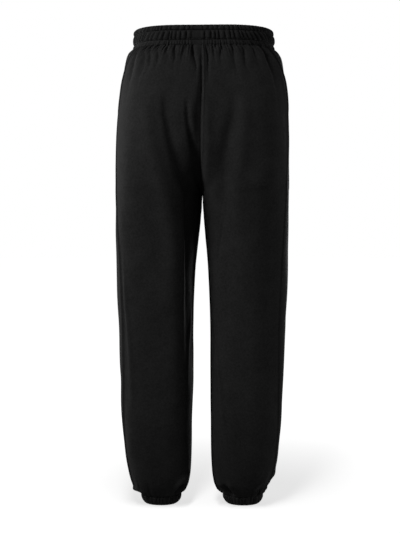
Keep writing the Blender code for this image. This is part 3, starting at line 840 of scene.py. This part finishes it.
worn_panels = {}
for panel in sorted(FOLDS):
    side = 1 if panel.endswith("left") else -1
    points, normals, across = panel_form(panel, heights, places)
    relief = panel_relief(panel, across, places, heights)
    normals = closed_at_centre(normals, across - across[:, :1], heights)
    face = points + normals * relief[..., None]
    worn_panels[panel] = (face, normals)
    outer = in_space(face, heights, side)
    inner = in_space(face - normals * FLEECE, heights, side)
    flat = np.stack((across, np.broadcast_to(heights[:, None], across.shape)), axis=-1) * MM
    if panel in ("front_right", "back_left"):
        outer, inner, flat = outer[:, ::-1], inner[:, ::-1], flat[:, ::-1]
    piece = cloth_wall(panel + "_cloth", outer, inner, flat, fleece)
    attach(piece, "root")
    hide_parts(panel)

# ----------------------------------------------------------------------------------- Pocket bags
# A flat bag of cotton pocketing hangs inside each side seam, behind the pocket mouth. Its two
# layers lie together, so it is one thin wall along the inside of the panels.

POCKETING = 2.4
BAG_GAP = 0.5
BAG_TOP = -34
BAG_BOTTOM = -262
BAG_FROM_FRONT = 0.57          # share across the front panel at which the bag starts
BAG_FROM_BACK = 0.95


def twill_pocketing(name):
    """Thin black cotton twill: matt, with a fine diagonal rib."""
    material, tree, shader = new_material(name, 0.85, 0.2)
    layout = add(tree, "ShaderNodeUVMap", uv_map="flat_cloth").outputs["UV"]
    # ribs drawn 1.5 mm apart, as the real half millimetre is too fine to show
    ribs = bands(tree, 0.0015, layout, "DIAGONAL")
    dye(tree, shader, "#0b0b0c", "#151516", ribs)
    weave = add(tree, "ShaderNodeBump", {"Strength": 0.3, "Distance": 0.0003}, {"Height": ribs})
    tree.links.new(weave.outputs["Normal"], shader.inputs["Normal"])
    return material


def polyester_thread(name):
    """Black spun polyester sewing thread: two plies wound together, with a slight sheen."""
    material, tree, shader = new_material(name, 0.55, 0.3)
    place = add(tree, "ShaderNodeTexCoord").outputs["Object"]
    # the plies are drawn 0.5 mm apart
    dye(tree, shader, "#121212", "#242424", bands(tree, 0.0005, place, "DIAGONAL"))
    return material


def stitch_tree():
    """Geometry nodes: one arched stitch of thread at each step along every line."""
    tree = bpy.data.node_groups.new("sewn_line", "GeometryNodeTree")
    sockets = tree.interface
    sockets.new_socket("Lines", in_out="INPUT", socket_type="NodeSocketGeometry")
    for label in ("Pitch", "Length", "Thread Radius"):
        sockets.new_socket(label, in_out="INPUT", socket_type="NodeSocketFloat")
    sockets.new_socket("Thread", in_out="INPUT", socket_type="NodeSocketMaterial")
    sockets.new_socket("Stitches", in_out="OUTPUT", socket_type="NodeSocketGeometry")
    given = add(tree, "NodeGroupInput").outputs
    back, ahead, low, high = (
        add(tree, "ShaderNodeMath", {1: share}, {0: given[size]}, operation="MULTIPLY")
        for size, share in (
            ("Length", -0.5), ("Length", 0.5), ("Thread Radius", -1.0), ("Thread Radius", 2.0),
        )
    )
    arch = add(
        tree, "GeometryNodeCurveQuadraticBezier", {"Resolution": 4},
        {
            "Start": add(tree, "ShaderNodeCombineXYZ", links={"X": back, "Z": low}),
            "Middle": add(tree, "ShaderNodeCombineXYZ", links={"Z": high}),
            "End": add(tree, "ShaderNodeCombineXYZ", links={"X": ahead, "Z": low}),
        },
    )
    round_thread = add(
        tree, "GeometryNodeCurvePrimitiveCircle", {"Resolution": 6},
        {"Radius": given["Thread Radius"]},
    )
    stitch = add(
        tree, "GeometryNodeCurveToMesh", {"Fill Caps": True},
        {"Curve": arch, "Profile Curve": round_thread},
    )
    line = add(tree, "GeometryNodeMeshToCurve", links={"Mesh": given["Lines"]})
    steps = add(
        tree, "GeometryNodeResampleCurve", links={"Curve": line, "Length": given["Pitch"]},
        mode="LENGTH",
    )
    outward = add(
        tree, "GeometryNodeInputNamedAttribute", {"Name": "outward"}, data_type="FLOAT_VECTOR"
    )
    upright = add(tree, "FunctionNodeAlignRotationToVector", links={"Vector": outward}, axis="Z")
    tangent = add(tree, "GeometryNodeInputTangent")
    along = add(
        tree, "FunctionNodeAlignRotationToVector", links={"Rotation": upright, "Vector": tangent},
        axis="X", pivot_axis="Z",
    )
    sewn = add(
        tree, "GeometryNodeInstanceOnPoints",
        links={"Points": steps, "Instance": stitch, "Rotation": along},
    )
    real = add(tree, "GeometryNodeRealizeInstances", links={0: sewn})
    dyed = add(
        tree, "GeometryNodeSetMaterial", links={"Geometry": real, "Material": given["Thread"]}
    )
    add(tree, "NodeGroupOutput", links={"Stitches": dyed})
    return tree


def sew(name, lines, stitch):
    """A piece of stitches along lines, each given as its points and their outward directions."""
    vertices, outward, edges = [], [], []
    for points, directions in lines:
        first = len(vertices)
        vertices.extend(np.asarray(points).tolist())
        outward.extend(np.asarray(directions).tolist())
        edges.extend((i, i + 1) for i in range(first, len(vertices) - 1))
    mesh = bpy.data.meshes.new(name + "_lines")
    mesh.from_pydata(vertices, edges, [])
    mesh.attributes.new("outward", "FLOAT_VECTOR", "POINT").data.foreach_set(
        "vector", np.ravel(outward)
    )
    lines_object = new_object(name + "_lines", mesh)
    modifier = lines_object.modifiers.new("sewn_line", "NODES")
    modifier.node_group = sewn_line
    sizes = {
        "Pitch": stitch.pitch * MM, "Length": stitch.length * MM,
        "Thread Radius": stitch.radius * MM, "Thread": thread,
    }
    for socket in sewn_line.interface.items_tree:
        if socket.in_out == "INPUT" and socket.name in sizes:
            modifier[socket.identifier] = sizes[socket.name]
    ready = lines_object.evaluated_get(bpy.context.evaluated_depsgraph_get())
    sewn = bpy.data.meshes.new_from_object(ready)
    sewn.name = name
    lines_object.modifiers.remove(modifier)
    bpy.data.objects.remove(lines_object)
    sewn.shade_smooth()
    piece = new_object(name, sewn)
    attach(piece, "root")
    return piece


sewn_line = stitch_tree()
thread = polyester_thread("black_polyester_thread")
# Distance between stitches, their length and the radius of the thread
Stitch = namedtuple("Stitch", "pitch length radius")
SEAM_STITCH = Stitch(3.2, 2.7, 0.28)
TACK_STITCH = Stitch(0.9, 1.4, 0.28)
POCKET_STITCH_IN = 7.0         # from the pocket's edge
BAR_TACK = 10.0                # length of the tack across each end of the mouth
BAR_TACK_HEIGHT = 1.2

pocketing = twill_pocketing("black_cotton_twill_pocketing")
bag_rows = (heights <= BAG_TOP) & (heights >= BAG_BOTTOM)
for side_name, side in (("left", 1), ("right", -1)):
    strips = []
    for panel, start in (("front_", BAG_FROM_FRONT), ("back_", BAG_FROM_BACK)):
        face, outward = worn_panels[panel + side_name]
        columns = places >= start
        strips.append([grid[bag_rows][:, columns] for grid in (face, outward)])
    face, outward = (np.concatenate((f, b[:, ::-1]), axis=1) for f, b in zip(*strips))
    outer = in_space(face - outward * (FLEECE + BAG_GAP), heights[bag_rows], side)
    inner = in_space(face - outward * (FLEECE + BAG_GAP + POCKETING), heights[bag_rows], side)
    flat = np.stack((np.hypot(outer[..., 0], outer[..., 1]), outer[..., 2]), axis=-1)
    if side < 0:
        outer, inner, flat = outer[:, ::-1], inner[:, ::-1], flat[:, ::-1]
    piece = cloth_wall("pocket_bag_cloth_" + side_name, outer, inner, flat, pocketing)
    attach(piece, "root")
    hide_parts("pocket_bag_" + side_name)

    # a row of stitches along the front of the mouth, and a bar tack across each of its ends
    face, outward = worn_panels["front_" + side_name]
    mouth = np.flatnonzero((heights < POCKET_TOP - 1) & (heights > POCKET_BOTTOM + 1))
    surface = in_space(face, heights, side)
    level = np.concatenate((outward * (side, 1), np.zeros(outward.shape[:2] + (1,))), axis=-1)
    from_mouth = np.linalg.norm(face - face[:, -1:], axis=-1)
    column = [int(np.argmin(np.abs(from_mouth[row] - POCKET_STITCH_IN))) for row in mouth]
    edge_line = (surface[mouth, column], level[mouth, column])
    tack_lines = []
    for row in (mouth[0], mouth[-1]):
        end = np.flatnonzero(from_mouth[row] < BAR_TACK)
        for drop in (-BAR_TACK_HEIGHT / 2 * MM, BAR_TACK_HEIGHT / 2 * MM):
            tack_lines.append((surface[row, end] + (0, 0, drop), level[row, end]))
    pocket_stitches = sew("pocket_stitches_" + side_name, [edge_line], SEAM_STITCH)
    bar_tacks = sew("pocket_tacks_" + side_name, tack_lines, TACK_STITCH)

# ------------------------------------------------------------------------------------- Waistband
# A doubled strip of the same fleece round a 40 mm elastic, gathered all the way round and caught
# down by two rows of stitching, between which it puffs out. It lies flat at the centre back.

# Closed profile of the band, from the bottom of the outside up over the top fold and down the
# inside: how far out, the height, how deep the ruffles are, and which channel it belongs to
BandKnot = namedtuple("BandKnot", "out height ruffle channel")
B = BandKnot
WAIST_PROFILE = (
    B(-1.6, -20.6, 1.1, 2), B(1.1, -20.5, 2.2, 2), B(1.5, -18.2, 2.2, 2), B(1.1, -14.8, 2.0, 2),
    B(0.2, -11.8, 1.5, 2), B(-2.9, -9.8, 0.7, 1.5), B(-0.3, -7.8, 1.7, 1), B(0.6, -4.6, 2.5, 1),
    B(0.7, -0.4, 2.7, 1), B(0.4, 3.8, 2.6, 1), B(-0.5, 7.8, 1.7, 1), B(-3.5, 9.9, 0.7, 0.5),
    B(-0.9, 11.8, 1.6, 0), B(-0.5, 13.8, 2.1, 0), B(-0.9, 16.6, 2.2, 0), B(-2.6, 19.6, 1.7, 0),
    B(-5.4, 21.3, 1.1, 0), B(-8.2, 21.0, 0.8, 0), B(-9.6, 18.6, 0.7, 0), B(-9.0, 14.4, 0.7, 0),
    B(-7.0, 9.6, 0.5, 0.5), B(-6.8, 0.0, 0.8, 1), B(-6.6, -10.2, 0.5, 1.5), B(-5.6, -16.0, 0.6, 2),
    B(-4.6, -20.2, 0.5, 2),
)
WAIST_OUTLINE = Section(0, 42.0, 149.2, 300, 101, 105.5, 33)
COLUMNS_PER_RUFFLE = 11
PROFILE_STEP = 1.35            # between the rows of the band's mesh
WAIST_ROWS = (-7.4, 12.3)      # heights of the two rows of stitches at the centre back
WAIST_LEAN = -2.6
Box = namedtuple("Box", "width depth height")
BACK_BOX = Box(40.0, 11.5, -11.8)
BOX_STITCH = Stitch(2.4, 2.0, 0.32)
BOX_POINTS = 24                # along each side of the box
CHANNEL_SHIFT = 0.0016         # how far a ruffle wanders from one channel to the next
WANDER_WAVES = 9
WANDER_SLOWEST = 3             # waves round the waist in the slowest of them
WANDER_SEED = 50
# How deep the ruffles are at shares of the way round: shallower round the left hip
LIVELINESS = {
    -0.5: 1.0, -0.27: 0.8, -0.17: 0.65, -0.07: 0.95, 0.06: 1.05, 0.15: 1.5, 0.27: 1.3, 0.5: 1.0,
}


def read_profile(profile, step):
    """Closed profile read on a smooth curve at even distances."""
    table = np.array(profile + profile[:1], float)
    # before and after the ends the same knots come round again, so that the join is smooth
    table = np.vstack((table[-4:-1], table, table[1:4]))
    marks = np.append(0, np.cumsum(np.hypot(*np.diff(table[:, :2], axis=0).T)))
    first, last = marks[3], marks[-4]
    count = int((last - first) / step)
    steps = np.linspace(first, last, count, endpoint=False)
    return [smooth_column(steps, marks, column) for column in table.T]


def gathered_band(name, outline_section, profile, waves, side, at_waist, seed, material):
    """A ruffled tube round an elastic, as one closed mesh, and its grid of points."""
    outline = full_outline(outline_section)
    count = waves * COLUMNS_PER_RUFFLE
    arcs = np.arange(count) * outline.length / count
    level, outward = outline.walk(arcs)
    shares = arcs / outline.length - 0.5
    out, height, depth, channel = read_profile(profile, PROFILE_STEP)
    wander = np.random.default_rng(seed + WANDER_SEED).normal(0, 1, (3, WANDER_WAVES))
    grid = []
    for o, z, d, c in zip(out, height, depth, channel):
        shift = np.zeros(count)
        for harmonic, amounts in enumerate(wander.T):
            amount = np.interp(c, (0, 1, 2), amounts)
            turns = (harmonic + WANDER_SLOWEST) * 2 * math.pi
            shift += amount * np.sin(turns * shares + harmonic)
        fineness = FINENESS * max(c - 1, 0)
        if at_waist:
            wave = slanted_ruffles(shares + CHANNEL_SHIFT * shift, z, waves, fineness, seed)
            wave = wave * flatness(shares)
            wave = wave * read_table(LIVELINESS, shares)
        else:
            wave = ruffles(shares, waves, seed)
        rise = o + d * wave
        ring = level + outward * rise[:, None]
        grid.append(stand(np.column_stack((ring * (side, 1), np.full(count, z)))) * MM)
    grid = np.array(grid)
    if side < 0:
        grid = grid[:, ::-1]
    rows = len(grid)
    row, column = (part.ravel() for part in np.mgrid[0:rows, 0:count])
    across, up = (column + 1) % count, (row + 1) % rows
    faces = np.stack(
        (row * count + column, row * count + across, up * count + across, up * count + column), -1
    )
    mesh = bpy.data.meshes.new(name)
    mesh.from_pydata(grid.reshape(-1, 3).tolist(), [], faces.tolist())
    pitch = outline.length / count * MM
    layout = mesh.uv_layers.new(name="flat_cloth")
    corner_columns = np.stack((column, column + 1, column + 1, column), -1) * pitch
    corner_rows = np.stack((row, row, row + 1, row + 1), -1) * PROFILE_STEP * MM
    layout.data.foreach_set("uv", np.stack((corner_columns, corner_rows), -1).ravel())
    mesh.materials.append(material)
    mesh.shade_smooth()
    return new_object(name, mesh), grid


def ring_line(grid, height):
    """The line round a band's outer face at a height, and its outward directions."""
    outside = grid[: len(grid) // 2]
    row = int(np.argmin(np.abs(outside[:, :, 2].mean(axis=1) - height * MM)))
    ring = np.vstack((outside[row], outside[row, :1]))
    around = np.gradient(ring, axis=0)
    outward = np.column_stack((around[:, 1], -around[:, 0], np.zeros(len(ring))))
    outward /= np.linalg.norm(outward, axis=1)[:, None]
    middle = ring.mean(axis=0)
    if np.sum(outward * (ring - middle)) < 0:
        outward = -outward
    return ring, outward


band_fleece = brushed_fleece("black_brushed_fleece_gathered", "#151515", "#272727", 0.05)
waistband, band_grid = gathered_band(
    "waistband_cloth", WAIST_OUTLINE, WAIST_PROFILE, WAIST_RUFFLES, 1, True, WAIST_SEED, band_fleece
)
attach(waistband, "root")
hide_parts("waistband")

# two rows all round, and a box at the centre back that once held a tab inside
waist_stitches = sew(
    "waistband_stitches", [ring_line(band_grid, height) for height in WAIST_ROWS], SEAM_STITCH,
)
back_face = band_grid[: len(band_grid) // 2][:, band_grid[0, :, 1] > 0]
box_lines = []
corners = ((-1, 1), (1, 1), (1, -1), (-1, -1), (-1, 1))
for (x0, z0), (x1, z1) in zip(corners[:-1], corners[1:]):
    line = []
    for share in np.linspace(0, 1, BOX_POINTS):
        x = (x0 + (x1 - x0) * share) * BACK_BOX.width / 2 * MM + WAIST_LEAN * MM
        z = ((z0 + (z1 - z0) * share) * BACK_BOX.depth / 2 + BACK_BOX.height) * MM
        gap = (back_face[..., 0] - x) ** 2 + (back_face[..., 2] - z) ** 2
        line.append(back_face[np.unravel_index(np.argmin(gap), gap.shape)])
    box_lines.append((np.array(line), np.tile((0.0, 1.0, 0.0), (BOX_POINTS, 1))))
back_box = sew("waistband_box_stitches", box_lines, BOX_STITCH)

# ----------------------------------------------------------------------------------------- Cuffs
# The hem of each ankle is a narrow fleece channel round an elastic. It draws the leg in, and the
# leg bags over it.

CUFF_OUTLINE = Section(-990, 89.2, 131.2, 42.0, 40.5, 43, 15)
CUFF_PROFILE = (
    B(-9.4, -998.8, 0.4, 0), B(-7.2, -997.9, 0.7, 0), B(-3.8, -994.6, 1.4, 0),
    B(-0.8, -989.4, 2.0, 0), B(0.9, -984.4, 1.9, 0), B(1.2, -980.6, 1.4, 0),
    B(0.4, -977.95, 0.9, 0), B(-1.4, -977.76, 0.6, 0), B(-3.6, -978.4, 0.4, 0),
    B(-4.6, -984.0, 0.5, 0), B(-6.8, -990.5, 0.5, 0), B(-10.6, -997.2, 0.4, 0),
)
CUFF_ROW = -980.6

for side_name, side in (("left", 1), ("right", -1)):
    cuff, cuff_grid = gathered_band(
        "hem_cloth_" + side_name, CUFF_OUTLINE, CUFF_PROFILE, ANKLE_RUFFLES, side, False,
        ANKLE_SEED, fleece,
    )
    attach(cuff, "root")
    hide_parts("hem_" + side_name)
    cuff_stitches = sew(
        "hem_stitches_" + side_name, [ring_line(cuff_grid, CUFF_ROW)], SEAM_STITCH,
    )

# --------------------------------------------------------------------- Floor, light and camera
# A white studio sweep that glows by itself, a painted light: its glow is weaker near the garment, a
# painted shade round it, and stronger far off. The key light stands to the wearer's left and behind, so
# that one side of each fold is lit; softer lamps and the white room fill the rest.

FLOOR_DROP = 0.0006
FLOOR_RADIUS = 14.0
FLOOR_SIDES = 96
FLOOR_WHITE = 0.50
FLOOR_GLOW = (0.71, 0.92)      # painted glow of the sweep near the garment and far from it: the weaker glow near it paints a faint shade round it
FLOOR_GLOW_REACH = (0.3, 1.2)
ROOM_WHITE = 1.0
ROOM_FILL = 0.17               # how brightly the white room lights the cloth

low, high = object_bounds()
floor_mesh = bpy.data.meshes.new("studio_floor")
rim = [
    (FLOOR_RADIUS * math.cos(a), FLOOR_RADIUS * math.sin(a), low.z - FLOOR_DROP)
    for a in np.linspace(0, 2 * math.pi, FLOOR_SIDES, endpoint=False)
]
floor_mesh.from_pydata(rim, [], [tuple(range(FLOOR_SIDES))])
floor = new_object("studio_floor", floor_mesh)
floor_glow_material, floor_tree, floor_glow_shader = new_material("white_floor_with_painted_glow", 1.0, 0.0)
across_floor = add(floor_tree, "ShaderNodeTexCoord").outputs["Object"]
from_garment = add(
    floor_tree, "ShaderNodeVectorMath", {1: (0, 0, low.z)}, {0: across_floor}, operation="DISTANCE"
)
# the floor's emission is painted light, not a lamp: it glows less near the garment, painting a soft
# shade round it, and more far away
glow = add(
    floor_tree, "ShaderNodeMapRange",
    {
        "From Min": FLOOR_GLOW_REACH[0], "From Max": FLOOR_GLOW_REACH[1],
        "To Min": FLOOR_GLOW[0], "To Max": FLOOR_GLOW[1],
    },
    {"Value": from_garment.outputs["Value"]}, interpolation_type="SMOOTHSTEP",
)
floor_tree.links.new(glow.outputs["Result"], floor_glow_shader.inputs["Emission Strength"])
floor_glow_shader.inputs["Base Color"].default_value = (FLOOR_WHITE, FLOOR_WHITE, FLOOR_WHITE, 1)
floor_glow_shader.inputs["Emission Color"].default_value = (1, 1, 1, 1)
floor_mesh.materials.append(floor_glow_material)
# black cloth in a studio is flagged off from the white floor, so that it keeps its contrast
floor.visible_diffuse = False
floor.visible_glossy = False

world = bpy.data.worlds.new("white_room")
world.use_nodes = True
room = world.node_tree
fill = room.nodes["Background"]
fill.inputs["Color"].default_value = (1, 1, 1, 1)
fill.inputs["Strength"].default_value = ROOM_FILL
wall = add(room, "ShaderNodeBackground", {"Color": (1, 1, 1, 1), "Strength": ROOM_WHITE})
seen = add(room, "ShaderNodeLightPath").outputs["Is Camera Ray"]
either = add(
    room, "ShaderNodeMixShader",
    links={0: seen, 1: fill.outputs["Background"], 2: wall.outputs["Background"]},
)
room.links.new(either.outputs["Shader"], room.nodes["World Output"].inputs["Surface"])
bpy.context.scene.world = world

# The lamps for the cloth are flagged off from the floor, which has one large lamp of its own
Softbox = namedtuple("Softbox", "name place aim width height power spread lights_floor")
SOFTBOXES = (
    Softbox("key_softbox", (1.15, 0.90, 0.45), (0, 0, -0.42), 0.7, 0.7, 3.95, 70, False),
    Softbox("side_softbox", (-2.7, 0.10, 0.1), (0, 0, -0.45), 1.2, 2.0, 24, 180, False),
    Softbox("front_left_softbox", (2.8, -1.6, 0.0), (0, 0, -0.50), 1.2, 1.6, 64, 180, False),
    Softbox("front_softbox", (-1.0, -3.0, 0.2), (0, 0, -0.50), 0.7, 1.0, 42, 180, False),
    Softbox("low_softbox", (-0.35, 2.0, -0.78), (-0.03, 0, -0.95), 0.9, 0.25, 0.10, 50, False),
    Softbox("floor_softbox", (0.14, 0.98, 1.25), (0, 0, -1.0), 0.30, 2.0, 40, 180, True),
)
lit = {True: bpy.data.collections.new("lit_floor"), False: bpy.data.collections.new("lit_cloth")}
for piece in bpy.context.scene.objects:
    if piece.type == "MESH":
        lit[piece == floor].objects.link(piece)
for box in SOFTBOXES:
    lamp = bpy.data.lights.new(box.name, "AREA")
    lamp.shape = "RECTANGLE"
    lamp.size = box.width
    lamp.size_y = box.height
    lamp.energy = box.power
    lamp.spread = math.radians(box.spread)
    holder = new_object(box.name, lamp)
    holder.location = box.place
    aim = [t - p for t, p in zip(box.aim, box.place)]
    holder.rotation_euler = Vector(aim).to_track_quat("-Z", "Y").to_euler()
    holder.visible_camera = False
    holder.light_linking.receiver_collection = lit[box.lights_floor]

CAMERA_DISTANCE = 2.70
CAMERA_HEIGHT = -0.3605
CAMERA_TILT = 2.6              # downwards, in degrees
CAMERA_TURN = 3.0              # round the garment from straight behind, towards its right
CAMERA_SIDEWAYS = 0.005
SENSOR = 36.0
FOCAL = 1244.7 / 533 * SENSOR  # the focal length is 1244.7 where the frame's height is 533

turn = math.radians(CAMERA_TURN)
camera_data = bpy.data.cameras.new("camera")
camera_data.sensor_fit = "AUTO"
camera_data.sensor_width = SENSOR
camera_data.lens = FOCAL
camera = new_object("camera", camera_data)
camera.location = (
    -CAMERA_DISTANCE * math.sin(turn) + CAMERA_SIDEWAYS * math.cos(turn),
    CAMERA_DISTANCE * math.cos(turn) + CAMERA_SIDEWAYS * math.sin(turn),
    CAMERA_HEIGHT,
)
camera.rotation_euler = (math.radians(90 - CAMERA_TILT), 0, math.pi + turn)
bpy.context.scene.camera = camera
bpy.context.scene.view_settings.view_transform = "Standard"
